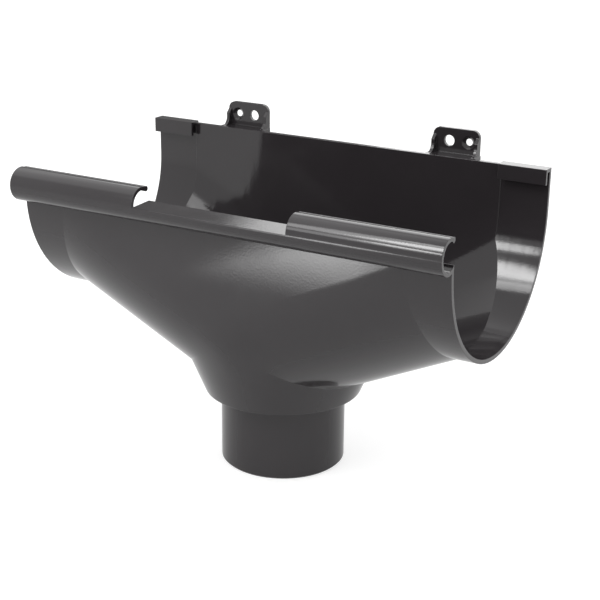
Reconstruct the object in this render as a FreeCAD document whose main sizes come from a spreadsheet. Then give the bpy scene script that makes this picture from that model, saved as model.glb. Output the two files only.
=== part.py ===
# Gutter running outlet: a moulded half-round trough that joins two gutter ends and drains
# through a sloping hopper into a round spigot.
# Frame: origin at the middle of the spigot's lower rim, X along the gutter, +Y towards the
# wall of the house, +Z up. Millimetres.

import math
import os
import re

import FreeCAD
import Part
import Sketcher
from FreeCAD import Placement, Rotation, Vector

os.makedirs("parts", exist_ok=True)
doc = FreeCAD.newDocument("gutter_running_outlet")

SAME_LENGTH = 1e-4      # two lengths closer than this count as equal, mm
LEAST_CHANGE = 0.5      # a feature has to change the volume by more than this, mm3

# Driving dimensions
SIZES = {
    "outlet_length": 270.0,        # over both open ends, along X
    "gutter_radius": 65.6,         # inside of the end sockets, where the gutter lies
    "socket_wall": 2.4,
    "socket_depth": 29.0,          # length of each end socket, down to the inner step
    "step_height": 0.6,            # the hopper stands proud of the socket by this, inside
    "hopper_slope": 25.2,          # fall of the hopper's arms towards the spigot, degrees
    "arm_clearance": 10.68,        # the arms' underside above the shoulder, over its edge
    "rear_rise": 23.2,             # top of the rear wall above the half-round's axis
    "spigot_radius": 37.5,
    "spigot_wall": 2.6,
    "spigot_length": 45.5,
    "spigot_chamfer": 1.0,
    "collar_radius": 47.2,         # flat shoulder above the spigot
    "collar_round": 0.8,
    "funnel_height": 49.5,         # from the shoulder to where the funnel is as wide as the trough
    "shoulder_fall": 2.0,          # slope of the shoulder inside, towards the spigot
    "bead_radius": 7.75,           # inside of the clip that takes the gutter's front bead
    "clip_wall": 2.0,
    "clip_length": 86.5,
    "bead_out": 3.25,              # centre of the clip in front of the trough's outer face
    "bead_up": 8.35,               # centre of the clip above the half-round's axis
    "lip_radius": 1.5,             # round lip along the clip's upper edge
    "lip_angle": 28.0,             # from the clip's crown back to the lip, degrees
    "strip_wall": 2.0,             # flat top of the bead between the clips
    "strip_rise": 0.6,             # its rear edge stands above its front edge by this
    "hook_wall": 2.0,
    "hook_gap": 3.6,               # slot that the gutter's rear edge goes up into
    "hook_rise": 1.2,              # top of the hook above the rear wall
    "hook_drop": 9.0,              # front leg of the hook, from its top
    "tab_spacing": 145.0,          # between the middles of the two fixing tabs
    "tab_width": 29.5,
    "tab_rise": 14.8,              # top of the tab above the rear wall
    "tab_corner": 4.5,
    "tab_standoff": 8.0,           # front face of the tab behind the trough's outer face
    "tab_wall": 2.4,
    "cheek_wall": 2.0,             # side cheeks of the tab
    "cheek_depth": 2.8,            # how far they stand out in front of the tab
    "cheek_drop": 13.0,            # how far they reach down the rear wall, from its top
    "ledge_wall": 2.4,             # ledge that carries the tab
    "ledge_overhang": 1.25,        # beyond the tab at each side
    "hole_spacing": 12.1,
    "hole_rise": 7.2,              # middle of the screw holes above the rear wall
    "hole_shift": 1.7,             # middle of the pair, outwards from the tab's middle
    "large_hole_radius": 3.3,
    "small_hole_radius": 2.1,
    "countersink": 1.8,            # width and depth of the small hole's chamfer
}

sizes = doc.addObject("Spreadsheet::Sheet", "sizes")
for row, (alias, number) in enumerate(SIZES.items(), start=1):
    sizes.set("A%d" % row, alias)
    sizes.set("B%d" % row, str(number))
    sizes.setAlias("B%d" % row, alias)

# Axis of the half-round above the spigot's lower rim: the arms fall from it to the shoulder
sizes.set("A%d" % (len(SIZES) + 1), "axis_height")
sizes.set("B%d" % (len(SIZES) + 1), (
    "=spigot_length + arm_clearance"
    " + (outlet_length / 2 - socket_depth - collar_radius) * tan(hopper_slope)"
    " + (gutter_radius + socket_wall) / cos(hopper_slope)"))
sizes.setAlias("B%d" % (len(SIZES) + 1), "axis_height")
doc.recompute()

# Sizes that follow from the driving ones
outer_radius = "(gutter_radius + socket_wall)"
hopper_radius = "(gutter_radius - step_height)"
half_length = "(outlet_length / 2)"
hopper_start = "(outlet_length / 2 - socket_depth)"
rear_top = "(axis_height + rear_rise)"
hopper_fall = "((outlet_length / 2 - socket_depth) * tan(hopper_slope))"
mitre_reach = "(outlet_length / 2 - socket_depth + (gutter_radius + socket_wall) * tan(hopper_slope / 2))"
overlap = "socket_wall"
bead_y = "(-gutter_radius - socket_wall - bead_out)"
bead_z = "(axis_height + bead_up)"
clip_radius = "(bead_radius + clip_wall)"
tab_middle = "(tab_spacing / 2)"
tab_front = "(gutter_radius + socket_wall + tab_standoff)"
tab_back = "(gutter_radius + socket_wall + tab_standoff + tab_wall)"

ALIAS = re.compile(r"\b(" + "|".join([*SIZES, "axis_height"]) + r")\b")


def bound(text):
    """Turn the size names of a formula into references to the sheet."""
    return ALIAS.sub(r"sizes.\1", text)


def value(text):
    """The present value of a formula, as a plain number."""
    found = sizes.evalExpression(ALIAS.sub(r".\1", text))
    return float(getattr(found, "Value", found))


def bind(thing, name, text):
    thing.setExpression(name, bound(text))


body = doc.addObject("PartDesign::Body", "outlet_body")
body.Label = "outlet_body"
body.Placement = Placement()


def new_sketch(name, plane, shift=None, turn=None):
    """An empty sketch on one of the body's planes, moved along its normal or turned."""
    origin_plane = next(item for item in body.Origin.OriginFeatures if item.Role == plane)
    sketch = body.newObject("Sketcher::SketchObject", name)
    sketch.AttachmentSupport = (origin_plane, [""])
    sketch.MapMode = "FlatFace"
    if turn is not None:
        sketch.AttachmentOffset = Placement(Vector(), Rotation(Vector(-1, 0, 0), value(turn)))
        bind(sketch, "AttachmentOffset.Rotation.Angle", turn)
    for axis, text in (shift or {}).items():
        bind(sketch, "AttachmentOffset.Base." + axis, text)
    doc.recompute()
    return sketch


def place_point(sketch, side, end, across=None, up=None):
    """Tie a point of a sketch to its two coordinates."""
    for kind, axis, text in (("DistanceX", -2, across), ("DistanceY", -1, up)):
        if text is None:
            continue
        if text == "0":
            sketch.addConstraint(Sketcher.Constraint("PointOnObject", side, end, axis))
            continue
        index = sketch.addConstraint(Sketcher.Constraint(kind, side, end, value(text)))
        bind(sketch, "Constraints[%d]" % index, text)


def set_radius(sketch, side, text):
    index = sketch.addConstraint(Sketcher.Constraint("Radius", side, value(text)))
    bind(sketch, "Constraints[%d]" % index, text)


def draw_outline(sketch, corners, bends=None):
    """Draw a closed outline. A bend is the arc that leaves a corner: its centre, its radius
    and whether it turns left."""
    bends = bends or {}
    first = sketch.GeometryCount
    count = len(corners)
    points = [Vector(value(across), value(up), 0) for across, up in corners]
    ends = []
    for i, here in enumerate(points):
        there = points[(i + 1) % count]
        if i not in bends:
            sketch.addGeometry(Part.LineSegment(here, there))
            ends.append((1, 2))
            continue
        across, up, radius, left = bends[i]
        centre = Vector(value(across), value(up), 0)
        start = math.atan2(here.y - centre.y, here.x - centre.x)
        stop = math.atan2(there.y - centre.y, there.x - centre.x)
        if not left:
            start, stop = stop, start
        circle = Part.Circle(centre, Vector(0, 0, 1), value(radius))
        sketch.addGeometry(Part.ArcOfCircle(circle, start, stop))
        ends.append((1, 2) if left else (2, 1))
    for i in range(count):
        after = (i + 1) % count
        joint = Sketcher.Constraint("Coincident", first + i, ends[i][1], first + after, ends[after][0])
        sketch.addConstraint(joint)
    for i, (across, up) in enumerate(corners):
        arcs = [k for k in (i, (i - 1) % count) if k in bends]
        if not arcs:
            place_point(sketch, first + i, ends[i][0], across, up)
        elif len(arcs) == 1:
            spoke = points[i] - Vector(value(bends[arcs[0]][0]), value(bends[arcs[0]][1]), 0)
            if abs(spoke.y) > abs(spoke.x):
                place_point(sketch, first + i, ends[i][0], across=across)
            else:
                place_point(sketch, first + i, ends[i][0], up=up)
    for i, (across, up, radius, left) in bends.items():
        place_point(sketch, first + i, 3, across, up)
        set_radius(sketch, first + i, radius)
    doc.recompute()


def draw_circle(sketch, across, up, radius):
    centre = Vector(value(across), value(up), 0)
    side = sketch.addGeometry(Part.Circle(centre, Vector(0, 0, 1), value(radius)))
    place_point(sketch, side, 3, across, up)
    set_radius(sketch, side, radius)
    doc.recompute()


def extrude(kind, name, sketch, length, both_ways=False, backwards=False):
    """A pad or a pocket; it has to change the body's volume."""
    before = body.Shape.Volume if body.Tip else 0.0
    feature = body.newObject("PartDesign::" + kind, name)
    feature.Profile = sketch
    feature.Reversed = backwards
    feature.Midplane = both_ways
    feature.Length = value(length)
    bind(feature, "Length", length)
    doc.recompute()
    change = body.Shape.Volume - before
    if (kind == "Pad") != (change > 0) or abs(change) < LEAST_CHANGE:
        raise ValueError("%s changed the volume by %.3f" % (name, change))


def turn_about_z(kind, name, sketch, angle):
    """A revolution or a groove, turning from the sketch at +Y towards +X."""
    before = body.Shape.Volume
    feature = body.newObject("PartDesign::" + kind, name)
    feature.Profile = sketch
    feature.ReferenceAxis = (sketch, ["V_Axis"])
    feature.Reversed = True
    feature.Angle = angle
    doc.recompute()
    change = body.Shape.Volume - before
    if (kind == "Revolution") != (change > 0) or abs(change) < LEAST_CHANGE:
        raise ValueError("%s changed the volume by %.3f" % (name, change))


# One half of the outlet is built, at positive X, and mirrored at the end.

# Outside of the hopper's arm: a half-round of the trough's own size that runs down to the
# middle, with a side wall that fills up to the trough.
def half_round(sketch, radius, rise):
    draw_outline(
        sketch,
        [("-" + radius, rise), ("-" + radius, "0"), (radius, "0"), (radius, rise)],
        {1: ("0", "0", radius, True)},
    )


arm_start = {"y": "axis_height", "z": hopper_start}
arm_length = "(outlet_length / cos(hopper_slope))"
arm_section = new_sketch("arm_section", "YZ_Plane", arm_start, "hopper_slope")
half_round(arm_section, outer_radius, overlap)
extrude("Pad", "arm", arm_section, arm_length, backwards=True)

arm_ends = new_sketch("arm_ends", "XZ_Plane")
below = "(-outlet_length)"
above = "(axis_height + outlet_length)"
for near, far in (("0", "(-outlet_length)"), (mitre_reach, "outlet_length")):
    draw_outline(arm_ends, [(near, below), (far, below), (far, above), (near, above)])
extrude("Pocket", "arm_trim", arm_ends, "(4 * " + outer_radius + ")", both_ways=True)


def side_triangle(name):
    sketch = new_sketch(name, "XZ_Plane")
    draw_outline(
        sketch,
        [("0", "axis_height - " + hopper_fall), (hopper_start, "axis_height"), ("0", "axis_height")],
    )
    return sketch


extrude("Pad", "arm_sides", side_triangle("arm_side_view"), "(2 * " + outer_radius + ")", both_ways=True)

# Outside of the trough, over the whole half length
trough_section = new_sketch("trough_section", "YZ_Plane")
front_top = "(axis_height + clip_wall)"
draw_outline(
    trough_section,
    [("-" + outer_radius, front_top), ("-" + outer_radius, "axis_height"),
     (outer_radius, "axis_height"), (outer_radius, rear_top), ("0", rear_top), ("0", front_top)],
    {1: ("0", "axis_height", outer_radius, True)},
)
extrude("Pad", "trough", trough_section, half_length)

# Outside of the funnel, its shoulder and the spigot
funnel_profile = new_sketch("funnel_profile", "YZ_Plane")
shoulder_z = "spigot_length"
knee_z = "(spigot_length + funnel_height)"
draw_outline(
    funnel_profile,
    [("0", "0"), ("spigot_radius", "0"), ("spigot_radius", shoulder_z), ("collar_radius", shoulder_z),
     (outer_radius, knee_z), (outer_radius, "axis_height"), ("0", "axis_height")],
)
turn_about_z("Revolution", "funnel", funnel_profile, 180)

# Rod along the front edge, from which the clip and the closed bead are cut
rod_section = new_sketch("rod_section", "YZ_Plane")
draw_circle(rod_section, bead_y, bead_z, clip_radius)
extrude("Pad", "rod", rod_section, half_length)

# Inside of the trough: the socket, then the hopper behind the small step
def trough_bore(name, radius, start, length):
    sketch = new_sketch(name + "_section", "YZ_Plane", {"z": start})
    lid = "(" + rear_top + " + tab_rise)"
    draw_outline(
        sketch,
        [("-" + radius, lid), ("-" + radius, "axis_height"), (radius, "axis_height"), (radius, lid)],
        {1: ("0", "axis_height", radius, True)},
    )
    extrude("Pocket", name, sketch, length, backwards=True)


trough_bore("socket_bore", "gutter_radius", hopper_start, "outlet_length")
trough_bore("hopper_bore", hopper_radius, "0", hopper_start)

arm_bore_section = new_sketch("arm_bore_section", "YZ_Plane", arm_start, "hopper_slope")
half_round(arm_bore_section, hopper_radius, overlap)
extrude("Pocket", "arm_bore", arm_bore_section, arm_length)
extrude("Pocket", "side_bore", side_triangle("side_bore_view"), "(2 * " + hopper_radius + ")", both_ways=True)

bore_profile = new_sketch("bore_profile", "YZ_Plane")
bore_radius = "(spigot_radius - spigot_wall)"
hopper_wall = "(socket_wall + step_height)"
floor_z = "(spigot_length + " + hopper_wall + ")"
draw_outline(
    bore_profile,
    [("0", "-spigot_length"), (bore_radius, "-spigot_length"), (bore_radius, floor_z),
     ("collar_radius - " + hopper_wall, floor_z + " + shoulder_fall"),
     (hopper_radius, knee_z), (hopper_radius, "axis_height"), ("0", "axis_height")],
)
turn_about_z("Groove", "funnel_bore", bore_profile, 360)

# Clip: the rod is hollowed along the clip, and its rear quarter is opened for the bead
clip_start = "(outlet_length / 2 - clip_length)"
clip_cavity = new_sketch("clip_cavity", "YZ_Plane", {"z": clip_start})
draw_circle(clip_cavity, bead_y, bead_z, "bead_radius")
extrude("Pocket", "clip_bore", clip_cavity, "clip_length", backwards=True)

clip_mouth = new_sketch("clip_mouth", "YZ_Plane", {"z": clip_start})
mouth_reach = "(2 * (bead_radius + clip_wall))"
draw_outline(
    clip_mouth,
    [(bead_y, bead_z),
     (bead_y + " + " + mouth_reach, bead_z),
     (bead_y + " + " + mouth_reach + " * sin(lip_angle)",
      bead_z + " + " + mouth_reach + " * cos(lip_angle)")],
)
extrude("Pocket", "clip_opening", clip_mouth, "clip_length", backwards=True)

lip_section = new_sketch("lip_section", "YZ_Plane", {"z": clip_start})
lip_arm = "(bead_radius + clip_wall / 2)"
draw_circle(
    lip_section,
    bead_y + " + " + lip_arm + " * sin(lip_angle)",
    bead_z + " + " + lip_arm + " * cos(lip_angle)",
    "lip_radius",
)
extrude("Pad", "clip_lip", lip_section, "clip_length")

# Between the clips the bead is closed by a flat strip and hollow under it
strip_cut = new_sketch("strip_cut", "YZ_Plane")
bead_front = "(" + bead_y + " - " + clip_radius + ")"
cut_top = "(" + bead_z + " + 2 * " + clip_radius + ")"
draw_outline(
    strip_cut,
    [(bead_front + " - clip_wall", bead_z), (bead_front, bead_z),
     ("-" + hopper_radius, bead_z + " + strip_rise"),
     ("-" + hopper_radius, cut_top), (bead_front + " - clip_wall", cut_top)],
)
extrude("Pocket", "strip_top", strip_cut, clip_start, backwards=True)

strip_cavity = new_sketch("strip_cavity", "YZ_Plane")
strip_under = "(" + bead_z + " - strip_wall)"
strip_back = "(-" + hopper_radius + " - strip_wall)"
draw_outline(
    strip_cavity,
    [(bead_y + " - sqrt(bead_radius ^ 2 - strip_wall ^ 2)", strip_under),
     (strip_back, bead_z + " - sqrt(bead_radius ^ 2 - (" + strip_back + " - " + bead_y + ") ^ 2)"),
     (strip_back, strip_under)],
    {0: (bead_y, bead_z, "bead_radius", True)},
)
extrude("Pocket", "strip_bore", strip_cavity, clip_start, backwards=True)

# Hook over the gutter's rear edge, as long as the socket
hook_section = new_sketch("hook_section", "YZ_Plane", {"z": hopper_start})
hook_top = "(" + rear_top + " + hook_rise)"
hook_front = "(gutter_radius - hook_gap - hook_wall)"
draw_outline(
    hook_section,
    [(outer_radius, rear_top + " - hook_rise"), (outer_radius, hook_top), (hook_front, hook_top),
     (hook_front, hook_top + " - hook_drop"), (hook_front + " + hook_wall", hook_top + " - hook_drop"),
     (hook_front + " + hook_wall", hook_top + " - hook_wall"),
     ("gutter_radius", hook_top + " - hook_wall"), ("gutter_radius", rear_top + " - hook_rise")],
)
extrude("Pad", "hook", hook_section, "socket_depth")

# Fixing tab behind the rear wall: ledge, upright plate, two cheeks and the screw holes
ledge_view = new_sketch("ledge_view", "XY_Plane", {"z": rear_top})
ledge_near = "(" + tab_middle + " - tab_width / 2 - ledge_overhang)"
ledge_far = "(" + tab_middle + " + tab_width / 2 + ledge_overhang)"
wall_middle = "(gutter_radius + socket_wall / 2)"
draw_outline(
    ledge_view,
    [(ledge_near, wall_middle), (ledge_far, wall_middle), (ledge_far, tab_back + " - tab_wall"),
     (ledge_far + " - tab_wall", tab_back), (ledge_near + " + tab_wall", tab_back),
     (ledge_near, tab_back + " - tab_wall")],
    {2: (ledge_far + " - tab_wall", tab_back + " - tab_wall", "tab_wall", True),
     4: (ledge_near + " + tab_wall", tab_back + " - tab_wall", "tab_wall", True)},
)
extrude("Pad", "ledge", ledge_view, "ledge_wall", backwards=True)

tab_view = new_sketch("tab_view", "XZ_Plane", {"z": "-" + tab_front})
tab_near = "(" + tab_middle + " - tab_width / 2)"
tab_far = "(" + tab_middle + " + tab_width / 2)"
tab_top = "(" + rear_top + " + tab_rise)"
tab_foot = "(" + rear_top + " - ledge_wall)"
draw_outline(
    tab_view,
    [(tab_near, tab_foot), (tab_far, tab_foot), (tab_far, tab_top + " - tab_corner"),
     (tab_far + " - tab_corner", tab_top), (tab_near + " + tab_corner", tab_top),
     (tab_near, tab_top + " - tab_corner")],
    {2: (tab_far + " - tab_corner", tab_top + " - tab_corner", "tab_corner", True),
     4: (tab_near + " + tab_corner", tab_top + " - tab_corner", "tab_corner", True)},
)
extrude("Pad", "tab", tab_view, "tab_wall", backwards=True)

cheek_front = "(" + tab_front + " - cheek_depth)"
cheek_bend = "(tab_standoff - cheek_depth)"
tab_core = "(" + tab_front + " + tab_wall / 2)"
for name, start in (("cheek_near", tab_near), ("cheek_far", "(" + tab_far + " - cheek_wall)")):
    cheek_view = new_sketch(name + "_view", "YZ_Plane", {"z": start})
    draw_outline(
        cheek_view,
        [(tab_core, tab_top + " - tab_corner"), (tab_front, tab_top + " - tab_corner"),
         (cheek_front, tab_top + " - tab_corner - cheek_depth"),
         (cheek_front, rear_top + " + " + cheek_bend), (outer_radius, rear_top),
         (wall_middle, rear_top), (wall_middle, rear_top + " - cheek_drop"),
         (outer_radius, rear_top + " - cheek_drop"), (tab_core, tab_foot)],
        {3: (outer_radius, rear_top + " + " + cheek_bend, cheek_bend, False)},
    )
    extrude("Pad", name, cheek_view, "cheek_wall")

hole_view = new_sketch("hole_view", "XZ_Plane", {"z": "-" + tab_front})
pair_middle = "(" + tab_middle + " + hole_shift)"
hole_z = "(" + rear_top + " + hole_rise)"
draw_circle(hole_view, pair_middle + " - hole_spacing / 2", hole_z, "large_hole_radius")
draw_circle(hole_view, pair_middle + " + hole_spacing / 2", hole_z, "small_hole_radius")
extrude("Pocket", "screw_holes", hole_view, "tab_wall")


def round_edges(radius, height=None, depth=None):
    """Names of the full or half circles of a radius about their own centre, at a Z or a Y."""
    found = []
    for number, edge in enumerate(body.Shape.Edges, start=1):
        if not isinstance(edge.Curve, Part.Circle) or abs(edge.Curve.Radius - radius) > SAME_LENGTH:
            continue
        centre = edge.Curve.Center
        if height is not None and abs(centre.z - height) > SAME_LENGTH:
            continue
        if depth is not None and abs(centre.y - depth) > SAME_LENGTH:
            continue
        found.append("Edge%d" % number)
    return found


def dress(kind, name, edges, size):
    """A fillet or a chamfer on some of the body's edges."""
    base = body.Tip
    feature = body.newObject("PartDesign::" + kind, name)
    feature.Base = (base, edges)
    bind(feature, "Size" if kind == "Chamfer" else "Radius", size)
    doc.recompute()


dress("Chamfer", "countersink_edge", round_edges(value("small_hole_radius"), depth=value(tab_front)),
      "countersink")

# The other half
yz_plane = next(item for item in body.Origin.OriginFeatures if item.Role == "YZ_Plane")
other_half = body.newObject("PartDesign::Mirrored", "other_half")
other_half.TransformMode = "Whole shape"
other_half.MirrorPlane = (yz_plane, [""])
body.Tip = other_half
doc.recompute()
if body.Shape.BoundBox.XMin > SAME_LENGTH - value(half_length):
    raise ValueError("the mirrored half did not count")

# Rounded edge of the shoulder and bevelled rim of the spigot
dress("Fillet", "shoulder_edge", round_edges(value("collar_radius"), height=value(shoulder_z)),
      "collar_round")
dress("Chamfer", "spigot_edge", round_edges(value("spigot_radius"), height=0.0), "spigot_chamfer")

for thing in doc.Objects:
    if "Invalid" in thing.State or "Error" in thing.State:
        raise ValueError("%s failed: %s" % (thing.Name, thing.State))
if body.Shape.isNull() or not body.Shape.isValid() or len(body.Shape.Solids) != 1:
    raise ValueError("the outlet is not one valid solid")

body.Shape.exportStep("parts/outlet_body.step")
box = body.Shape.BoundBox
print("outlet %.1f x %.1f x %.1f mm, %.1f cm3, %d faces" % (
    box.XLength, box.YLength, box.ZLength, body.Shape.Volume / 1000, len(body.Shape.Faces)))
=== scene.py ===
# Looks of a gutter running outlet in dark moulded plastic, on a pale floor in soft studio light.
# Metres throughout, in the frame of the CAD part: X along the gutter, +Y towards the house, +Z up.

import math

import bmesh
import bpy
import numpy as np
from mathutils import Matrix, Vector


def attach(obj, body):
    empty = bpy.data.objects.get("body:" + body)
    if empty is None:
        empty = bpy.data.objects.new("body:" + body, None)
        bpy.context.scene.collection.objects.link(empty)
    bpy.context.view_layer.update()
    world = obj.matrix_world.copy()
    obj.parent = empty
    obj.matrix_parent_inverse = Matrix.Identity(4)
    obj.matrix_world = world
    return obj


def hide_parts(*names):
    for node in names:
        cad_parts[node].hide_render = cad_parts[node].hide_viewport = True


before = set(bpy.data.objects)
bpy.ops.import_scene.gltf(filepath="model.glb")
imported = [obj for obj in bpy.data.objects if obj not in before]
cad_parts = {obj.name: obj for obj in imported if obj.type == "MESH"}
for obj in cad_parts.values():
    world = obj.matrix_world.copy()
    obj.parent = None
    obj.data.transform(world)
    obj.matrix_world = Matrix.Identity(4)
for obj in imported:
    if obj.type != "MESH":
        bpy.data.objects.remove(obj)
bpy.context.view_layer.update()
scene = bpy.context.scene

# Camera
# In front of the right end, a little above the trough, as the photograph was taken.
# The square frame is kept, with no shift.
yaw = math.radians(29.91)
pitch = math.radians(19.43)
roll = math.radians(0.63)
target = Vector((0.0110, 0.0, 0.10125))
distance = 0.76206
back = Vector((math.sin(yaw) * math.cos(pitch), -math.cos(yaw) * math.cos(pitch), math.sin(pitch)))
level = Vector((math.cos(yaw), math.sin(yaw), 0.0))
rise = back.cross(level)
right = math.cos(roll) * level + math.sin(roll) * rise
up = math.cos(roll) * rise - math.sin(roll) * level

camera_data = bpy.data.cameras.new("camera")
camera_data.sensor_width = 36.0
camera_data.lens = 77.73
camera = bpy.data.objects.new("camera", camera_data)
camera.matrix_world = Matrix((
    (right.x, up.x, back.x, target.x + distance * back.x),
    (right.y, up.y, back.y, target.y + distance * back.y),
    (right.z, up.z, back.z, target.z + distance * back.z),
    (0.0, 0.0, 0.0, 1.0),
))
scene.collection.objects.link(camera)
scene.camera = camera

# View settings
scene.view_settings.view_transform = "Standard"


# Shared shader nodes
# Each function adds one node to a tree and gives back its output.
def calculate(tree, operation, first, second, third=0.0):
    """A math node. Each value is an output, which gets linked, or a plain number."""
    node = tree.nodes.new("ShaderNodeMath")
    node.operation = operation
    for socket, value in zip(node.inputs, (first, second, third)):
        if isinstance(value, bpy.types.NodeSocket):
            tree.links.new(value, socket)
        else:
            socket.default_value = value
    return node.outputs["Value"]


def fade(tree, source, start, end, low=0.0, high=1.0, kind="SMOOTHSTEP"):
    """From low, where the source is at start, to high, where it is at end, and level beyond."""
    node = tree.nodes.new("ShaderNodeMapRange")
    node.interpolation_type = kind
    node.inputs["From Min"].default_value = start
    node.inputs["From Max"].default_value = end
    node.inputs["To Min"].default_value = low
    node.inputs["To Max"].default_value = high
    tree.links.new(source, node.inputs["Value"])
    return node.outputs["Result"]


def noise(tree, where, scale, detail):
    node = tree.nodes.new("ShaderNodeTexNoise")
    node.inputs["Scale"].default_value = scale
    node.inputs["Detail"].default_value = detail
    tree.links.new(where, node.inputs["Vector"])
    return node.outputs["Fac"]


def bumped(tree, height, normal, strength, depth):
    node = tree.nodes.new("ShaderNodeBump")
    node.inputs["Strength"].default_value = strength
    node.inputs["Distance"].default_value = depth
    tree.links.new(height, node.inputs["Height"])
    tree.links.new(normal, node.inputs["Normal"])
    return node.outputs["Normal"]


# World
# Even white light from all round, as in a light tent, with a darker gap low on the left and rear,
# and a brighter wall behind the outlet. The camera itself sees plain white.
gap_brightness = 0.25
gap_lean = 0.68
wall_brightness = 1.4
world = bpy.data.worlds.new("tent")
world.use_nodes = True
scene.world = world
tent = world.node_tree
heading = tent.nodes.new("ShaderNodeTexCoord")
split = tent.nodes.new("ShaderNodeSeparateXYZ")
tent.links.new(heading.outputs["Generated"], split.inputs["Vector"])
way_x, way_y, way_z = split.outputs

slant = calculate(tent, "ADD", way_x, fade(tent, way_z, 0.0, 1.0, high=gap_lean, kind="LINEAR"))
right_of_gap = fade(tent, slant, -0.298, -0.276)
above_gap = fade(tent, way_z, 0.345, 0.40)
before_gap = fade(tent, way_y, -0.30, -0.45)
outside_gap = calculate(tent, "MAXIMUM", right_of_gap, above_gap)
outside_gap = calculate(tent, "MAXIMUM", outside_gap, before_gap)
even = fade(tent, outside_gap, 0.0, 1.0, low=gap_brightness)

behind = calculate(tent, "MULTIPLY", fade(tent, way_y, 0.50, 0.65), fade(tent, way_z, 0.10, 0.18))
behind = calculate(tent, "MULTIPLY", behind, fade(tent, way_z, 0.72, 0.58, high=wall_brightness))
behind = calculate(tent, "MULTIPLY", behind, right_of_gap)
sight = tent.nodes.new("ShaderNodeLightPath")
glow = calculate(tent, "ADD", even, behind)
glow = calculate(tent, "MAXIMUM", glow, sight.outputs["Is Camera Ray"])
tent.nodes["Background"].inputs["Color"].default_value = (1.0, 1.0, 1.0, 1.0)
tent.links.new(glow, tent.nodes["Background"].inputs["Strength"])

# Floor
# A pale sheet that the spigot stands on. The camera and the plastic's reflections see it a
# little lighter, with its shadow.
floor_half = 4.0
floor_mesh = bpy.data.meshes.new("floor")
floor_mesh.from_pydata([
    (-floor_half, -floor_half, 0.0),
    (floor_half, -floor_half, 0.0),
    (floor_half, floor_half, 0.0),
    (-floor_half, floor_half, 0.0),
], [], [(0, 1, 2, 3)])
floor = bpy.data.objects.new("floor", floor_mesh)
scene.collection.objects.link(floor)

seen_lift = 0.62
mirrored_lift = 0.35
paper = bpy.data.materials.new("paper")
paper.use_nodes = True
paper_tree = paper.node_tree
paper_shader = paper_tree.nodes["Principled BSDF"]
paper_shader.inputs["Base Color"].default_value = (0.50, 0.50, 0.50, 1.0)
paper_shader.inputs["Roughness"].default_value = 0.9
paper_shader.inputs["Emission Color"].default_value = (1.0, 1.0, 1.0, 1.0)
ray = paper_tree.nodes.new("ShaderNodeLightPath")
lift = calculate(paper_tree, "MULTIPLY", ray.outputs["Is Glossy Ray"], mirrored_lift)
lift = calculate(paper_tree, "MULTIPLY_ADD", ray.outputs["Is Camera Ray"], seen_lift, lift)
paper_tree.links.new(lift, paper_shader.inputs["Emission Strength"])
floor_mesh.materials.append(paper)


# Lamps
# Soft rectangular panels round the outlet, which the camera doesn't see. A tall key light stands
# at the front left, with a narrow bright core, a wide faint one at the left, and a card lies on
# the floor in front.
def panel(name, azimuth, elevation, reach, width, height, brightness, aim, feather=0.5):
    """A panel that faces the point aim, from an azimuth, counted from the front (-Y) towards the
    right (+X), and an elevation. Brightness is that of its middle, where 1 is white. It fades
    towards its edges over the share feather of its half width and half height."""
    turn = math.radians(azimuth)
    climb = math.radians(elevation)
    way = Vector((math.sin(turn) * math.cos(climb), -math.cos(turn) * math.cos(climb), math.sin(climb)))
    lamp_data = bpy.data.lights.new(name, "AREA")
    lamp_data.shape = "RECTANGLE"
    lamp_data.size = width
    lamp_data.size_y = height
    lamp_data.energy = brightness * math.pi * width * height

    lamp_data.use_nodes = True
    tree = lamp_data.node_tree
    face = tree.nodes.new("ShaderNodeNewGeometry")
    centred = tree.nodes.new("ShaderNodeVectorMath")
    centred.operation = "MULTIPLY_ADD"
    centred.inputs[1].default_value = (2.0, 2.0, 0.0)
    centred.inputs[2].default_value = (-1.0, -1.0, 0.0)
    tree.links.new(face.outputs["Parametric"], centred.inputs[0])
    folded = tree.nodes.new("ShaderNodeVectorMath")
    folded.operation = "ABSOLUTE"
    tree.links.new(centred.outputs["Vector"], folded.inputs[0])
    sides = tree.nodes.new("ShaderNodeSeparateXYZ")
    tree.links.new(folded.outputs["Vector"], sides.inputs["Vector"])
    outward = calculate(tree, "MAXIMUM", sides.outputs["X"], sides.outputs["Y"])
    strength = fade(tree, outward, 1.0, 1.0 - feather)
    tree.links.new(strength, tree.nodes["Emission"].inputs["Strength"])

    lamp = bpy.data.objects.new(name, lamp_data)
    lamp.location = Vector(aim) + way * reach
    lamp.rotation_mode = "QUATERNION"
    lamp.rotation_quaternion = way.to_track_quat("Z", "Y")
    lamp.visible_camera = False
    scene.collection.objects.link(lamp)


body_middle = (0.0, 0.0, 0.13)
front_bead = (0.06, -0.04, 0.16)
right_end = (0.115, 0.06, 0.13)
panel("key_upper", -33.0, 46.0, 2.5, 0.90, 1.35, 5.0, body_middle)
panel("key_middle", -27.0, 23.0, 1.2, 0.34, 0.38, 3.0, front_bead)
panel("core_low", -22.0, 24.0, 1.0, 0.14, 0.15, 10.0, right_end)
panel("core_middle", -27.5, 44.0, 1.0, 0.16, 0.31, 10.0, right_end)
panel("core_high", -36.0, 57.0, 1.0, 0.18, 0.16, 6.0, right_end)
panel("side_panel", -95.0, 55.0, 2.5, 3.0, 1.8, 0.6, body_middle)

# The card's lamp faces up from just over the floor, at a point as high again
card_height = 0.004
card_aim = (-0.166, -0.525, 2.0 * card_height)
panel("front_card", 0.0, -90.0, card_height, 0.19, 0.31, 8.0, card_aim, feather=0.9)

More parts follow.
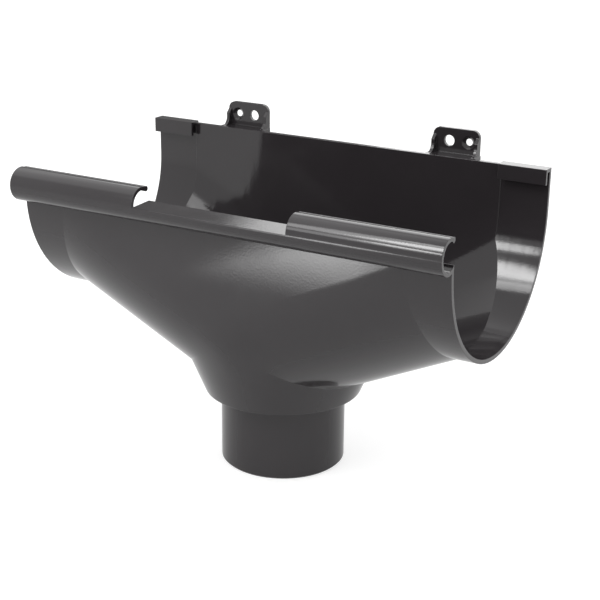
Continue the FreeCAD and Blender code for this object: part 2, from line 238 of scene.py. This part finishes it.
# Plastic
# Dark grey moulded PVC: a faintly cloudy colour and a finish that is duller in small patches.
plastic = bpy.data.materials.new("anthracite_plastic_finish")
plastic.use_nodes = True
skin_tree = plastic.node_tree
shader = skin_tree.nodes["Principled BSDF"]
shader.inputs["IOR"].default_value = 1.5
place = skin_tree.nodes.new("ShaderNodeTexCoord").outputs["Object"]

tint = skin_tree.nodes.new("ShaderNodeValToRGB")
tint.color_ramp.elements[0].position = 0.3
tint.color_ramp.elements[0].color = (0.0225, 0.0198, 0.0216, 1.0)
tint.color_ramp.elements[1].position = 0.7
tint.color_ramp.elements[1].color = (0.0267, 0.0236, 0.0256, 1.0)
skin_tree.links.new(noise(skin_tree, place, 14.0, 4.0), tint.inputs["Fac"])
skin_tree.links.new(tint.outputs["Color"], shader.inputs["Base Color"])

dull = fade(skin_tree, noise(skin_tree, place, 60.0, 6.0), 0.35, 0.75, 0.06, 0.11, kind="LINEAR")
skin_tree.links.new(dull, shader.inputs["Roughness"])

# Relief of the plastic
# Sharp edges are a little rounded. The rear wall is faintly wavy along the gutter, as the melt
# ran down the mould, and a slight orange peel lies over everything.
edge_radius = 0.0004
edge = skin_tree.nodes.new("ShaderNodeBevel")
edge.samples = 6
edge.inputs["Radius"].default_value = edge_radius

stretched = skin_tree.nodes.new("ShaderNodeMapping")
stretched.inputs["Scale"].default_value = (170.0, 14.0, 14.0)
skin_tree.links.new(place, stretched.inputs["Vector"])
streaks = noise(skin_tree, stretched.outputs["Vector"], 1.0, 1.0)
apart = skin_tree.nodes.new("ShaderNodeSeparateXYZ")
skin_tree.links.new(place, apart.inputs["Vector"])
rearward = fade(skin_tree, apart.outputs["Y"], 0.030, 0.055, kind="LINEAR")
wave = calculate(skin_tree, "MULTIPLY", streaks, rearward)
peel = noise(skin_tree, place, 900.0, 2.0)
relief = bumped(skin_tree, wave, edge.outputs["Normal"], strength=1.0, depth=0.000045)
relief = bumped(skin_tree, peel, relief, strength=0.04, depth=0.0004)
skin_tree.links.new(relief, shader.inputs["Normal"])

# Round surfaces of the outlet
# Each is a point on its axis, the axis, its radius at that point and how that grows along it.
axis_height = 0.159
outer_radius = 0.0680
socket_radius = 0.0656
inner_radius = 0.0650
slope = math.radians(25.2)
arm_start = 0.106
bead_y = -0.07125
bead_z = axis_height + 0.00835
lip_y = -0.067142
lip_z = axis_height + 0.016076
rear_top = axis_height + 0.0232
hook_radius = 0.0052
tab_y = 0.0760
corner_z = rear_top + 0.0103
hole_z = rear_top + 0.0072
large_hole_x = 0.06815
small_hole_x = 0.08025
along = (1.0, 0.0, 0.0)
across = (0.0, 1.0, 0.0)
upwards = (0.0, 0.0, 1.0)


def tubes(point, axis, *radii):
    return [(point, axis, radius, 0.0) for radius in radii]


def widening(bottom, height, low_radius, high_radius):
    """A cone about the spigot's axis."""
    return [((0.0, 0.0, bottom), upwards, low_radius, (high_radius - low_radius) / height)]


rounds = tubes((0.0, 0.0, axis_height), along, outer_radius, socket_radius, inner_radius)
rounds += tubes((0.0, bead_y, bead_z), along, 0.00975, 0.00775)
rounds += tubes((0.0, lip_y, lip_z), along, 0.0015)
rounds += tubes((0.0, outer_radius, rear_top + hook_radius), along, hook_radius)
rounds += tubes((0.0, 0.0, 0.0), upwards, 0.0375, 0.0349, outer_radius, inner_radius)
rounds += widening(0.0455, 0.0495, 0.0472, outer_radius)
rounds += widening(0.0505, 0.0445, 0.0442, inner_radius)
rounds += widening(0.0485, 0.0020, 0.0349, 0.0442)
rounds += widening(0.0, 0.0010, 0.0365, 0.0375)
for side in (1.0, -1.0):
    fall = (math.cos(slope), 0.0, side * math.sin(slope))
    rounds += tubes((side * arm_start, 0.0, axis_height), fall, outer_radius, inner_radius)
    for corner_x in (0.06225, 0.08275):
        rounds += tubes((side * corner_x, 0.0, corner_z), across, 0.0045)
    for bend_x in (0.0589, 0.0861):
        rounds += tubes((side * bend_x, tab_y, 0.0), upwards, 0.0024)
    rounds += tubes((side * large_hole_x, 0.0, hole_z), across, 0.0033)
    rounds += tubes((side * small_hole_x, 0.0, hole_z), across, 0.0021)
    rounds += [((side * small_hole_x, tab_y, hole_z), across, 0.0039, -1.0)]

shortest = 1e-9


def round_at(places, number):
    """Distance of each place from a round surface, and the surface's normal there."""
    centre, axis, radius, growth = (np.array(value) for value in rounds[number])
    offset = places - centre
    reach = offset @ axis
    radial = offset - reach[..., None] * axis
    size = np.maximum(np.linalg.norm(radial, axis=-1), shortest)
    lean = np.hypot(1.0, growth)
    miss = np.abs(size - radius - growth * reach) / lean
    normal = (radial / size[..., None] - growth * axis) / lean
    return miss, normal


def unit(vectors):
    length = np.linalg.norm(vectors, axis=-1, keepdims=True)
    return vectors / np.maximum(length, shortest)


def arrays(mesh):
    """Points, corner numbers, normals and areas of a bmesh of triangles."""
    mesh.verts.index_update()
    mesh.normal_update()
    places = np.array([vertex.co for vertex in mesh.verts])
    corners = np.array([[vertex.index for vertex in face.verts] for face in mesh.faces])
    normals = np.array([face.normal for face in mesh.faces])
    sizes = np.array([face.calc_area() for face in mesh.faces])
    return places, corners, normals, sizes


# Outlet
# The CAD moulding's form. Each facet is given to the round surface that it lies on, and gets its
# true normals, so that reflections run over it as smoothly as over the real moulding.
most_miss = 3e-5
least_facing = 0.8
skin = bmesh.new()
skin.from_mesh(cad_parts["outlet_body"].data)
bmesh.ops.remove_doubles(skin, verts=skin.verts, dist=1e-6)
points, facets, flat, areas = arrays(skin)
surface = np.full(len(facets), -1)
match = np.full(len(facets), least_facing)
for number in range(len(rounds)):
    miss, normal = round_at(points[facets], number)
    facing = np.abs(np.einsum("ij,ikj->ik", flat, normal)).min(axis=1)
    fits = (miss.max(axis=1) < most_miss) & (facing > match)
    surface[fits] = number
    match[fits] = facing[fits]
label = skin.faces.layers.int.new("surface")
for face, number in zip(skin.faces, surface):
    face[label] = int(number)


# Knee
# Where the arms run into the funnel the skin is cut finer, until no edge there is over 5 mm.
def at_knee(spot):
    return abs(spot.x) < 0.045 and abs(spot.y) > 0.030 and 0.045 < spot.z < 0.132


def long_at_knee(line):
    first, last = line.verts[0].co, line.verts[1].co
    return line.calc_length() > 0.005 and any(at_knee(spot) for spot in (first, last, (first + last) / 2.0))


most_halvings = 7
for _ in range(most_halvings):
    long_edges = [line for line in skin.edges if long_at_knee(line)]
    if not long_edges:
        break
    bmesh.ops.subdivide_edges(skin, edges=long_edges, cuts=1, use_grid_fill=True)
    bmesh.ops.triangulate(skin, faces=[face for face in skin.faces if len(face.verts) > 3])
points, facets, flat, areas = arrays(skin)
surface = np.array([face[label] for face in skin.faces])
outlet_mesh = bpy.data.meshes.new("outlet")
skin.to_mesh(outlet_mesh)
skin.free()
outlet_mesh.polygons.foreach_set("use_smooth", [True] * len(outlet_mesh.polygons))

# Normals
# Facets on a round surface have its normals. Flat facets, and the few on small roundings, average
# what is nearly level with them.
level_enough = 0.88
round_normals = np.repeat(flat[:, None, :], 3, axis=1)
for number in range(len(rounds)):
    own = surface == number
    _, normal = round_at(points[facets[own]], number)
    side = np.sign(np.einsum("ij,ikj->ik", flat[own], normal).sum(axis=1))
    round_normals[own] = normal * side[:, None, None]

around = [[] for _ in points]
for number, facet in enumerate(facets):
    for corner, vertex in enumerate(facet):
        around[vertex].append((number, corner))
normals = round_normals.copy()
for number in np.flatnonzero(surface < 0):
    for corner, vertex in enumerate(facets[number]):
        total = np.zeros(3)
        for other, spot in around[vertex]:
            beside = round_normals[other, spot]
            if min(flat[other] @ flat[number], beside @ flat[number]) > level_enough:
                total += beside * areas[other]
        normals[number, corner] = unit(total)

# The moulding is rounded at the knee: each normal there is drawn to the mean of the skin round
# it, on its own side, that of the outer or of the inner skin. The skin is summed up in cells.
knee_z = 0.090
cell_size = 0.003
blur = 0.007
middles = points[facets].mean(axis=1)
face_normals = normals.mean(axis=1)
outer = (face_normals[:, :2] * middles[:, :2]).sum(axis=1) > 0.0
near = np.hypot(middles[:, 0] / 0.056, (middles[:, 2] - knee_z) / 0.055) < 1.0
spread = np.hypot(points[:, 0] / 0.038, (points[:, 2] - knee_z) / 0.037)
rounding = np.clip((1.0 - spread) / 0.5, 0.0, 1.0) * (np.abs(points[:, 1]) > 0.040)
rounding = rounding * rounding * (3.0 - 2.0 * rounding)
chosen = np.flatnonzero(rounding > 0.0)
rows = np.full(len(points), -1)
rows[chosen] = np.arange(len(chosen))
for skin_side in (outer, ~outer):
    sample = near & skin_side
    cells, cell = np.unique(np.round(middles[sample] / cell_size), axis=0, return_inverse=True)
    sums = np.zeros((len(cells), 3))
    np.add.at(sums, cell.ravel(), face_normals[sample] * areas[sample][:, None])
    gap = ((points[chosen][:, None, :] - cells[None, :, :] * cell_size) ** 2).sum(axis=2)
    same_wall = cells[None, :, 1] * points[chosen][:, None, 1] > 0.0
    mean = unit((np.exp(-gap / (2.0 * blur ** 2)) * same_wall) @ sums)
    faces_in, corners_in = np.nonzero((rows[facets] >= 0) & skin_side[:, None])
    vertices_in = facets[faces_in, corners_in]
    share = rounding[vertices_in][:, None]
    mixed = normals[faces_in, corners_in] * (1.0 - share) + mean[rows[vertices_in]] * share
    normals[faces_in, corners_in] = unit(mixed)

outlet_mesh.normals_split_custom_set(normals.reshape(-1, 3).tolist())
outlet_mesh.materials.append(plastic)
outlet = bpy.data.objects.new("outlet", outlet_mesh)
scene.collection.objects.link(outlet)
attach(outlet, "root")
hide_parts("outlet_body")
